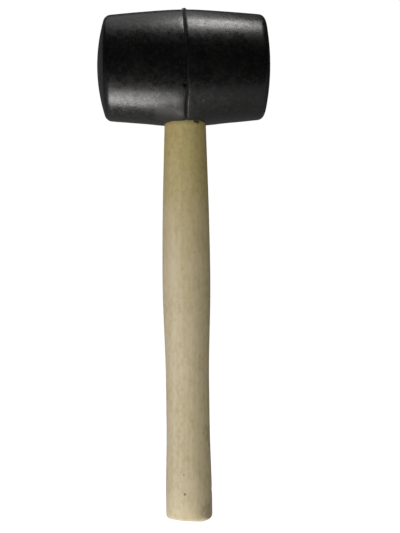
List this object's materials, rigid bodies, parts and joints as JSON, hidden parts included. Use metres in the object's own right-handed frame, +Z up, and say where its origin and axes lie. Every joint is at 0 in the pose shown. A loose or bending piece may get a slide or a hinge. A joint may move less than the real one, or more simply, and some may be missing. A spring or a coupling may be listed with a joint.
{
  "type": "rubber mallet",
  "caption": "Soft-faced mallet: a barrel-shaped moulded black rubber head on a turned wooden handle, held by a wedged through tenon.",
  "frame": {"origin": "centre of the butt's flat end, the lowest point of the handle", "axes": "+Z up the handle from the butt to the head, +X along the head's axis from one striking face to the other, +Y square to both, away from the side with the small moulding pit"},
  "size_m": [0.12, 0.0802, 0.3545],
  "materials": {
    "head_rubber": "moulded black rubber, dull with a soft mottled sheen",
    "handle_wood": "bare turned hardwood, pale, fine straight grain, smooth sanded",
    "wedge_wood": "hardwood end grain, cut flush",
    "wedge_steel": "dull sheared steel with hammer marks"
  },
  "bodies": {
    "root": {"rubber_head": "head_rubber", "handle": "handle_wood", "wooden_wedge": "wedge_wood", "steel_wedge_left": "wedge_steel", "steel_wedge_right": "wedge_steel"}
  },
  "joints": []
}
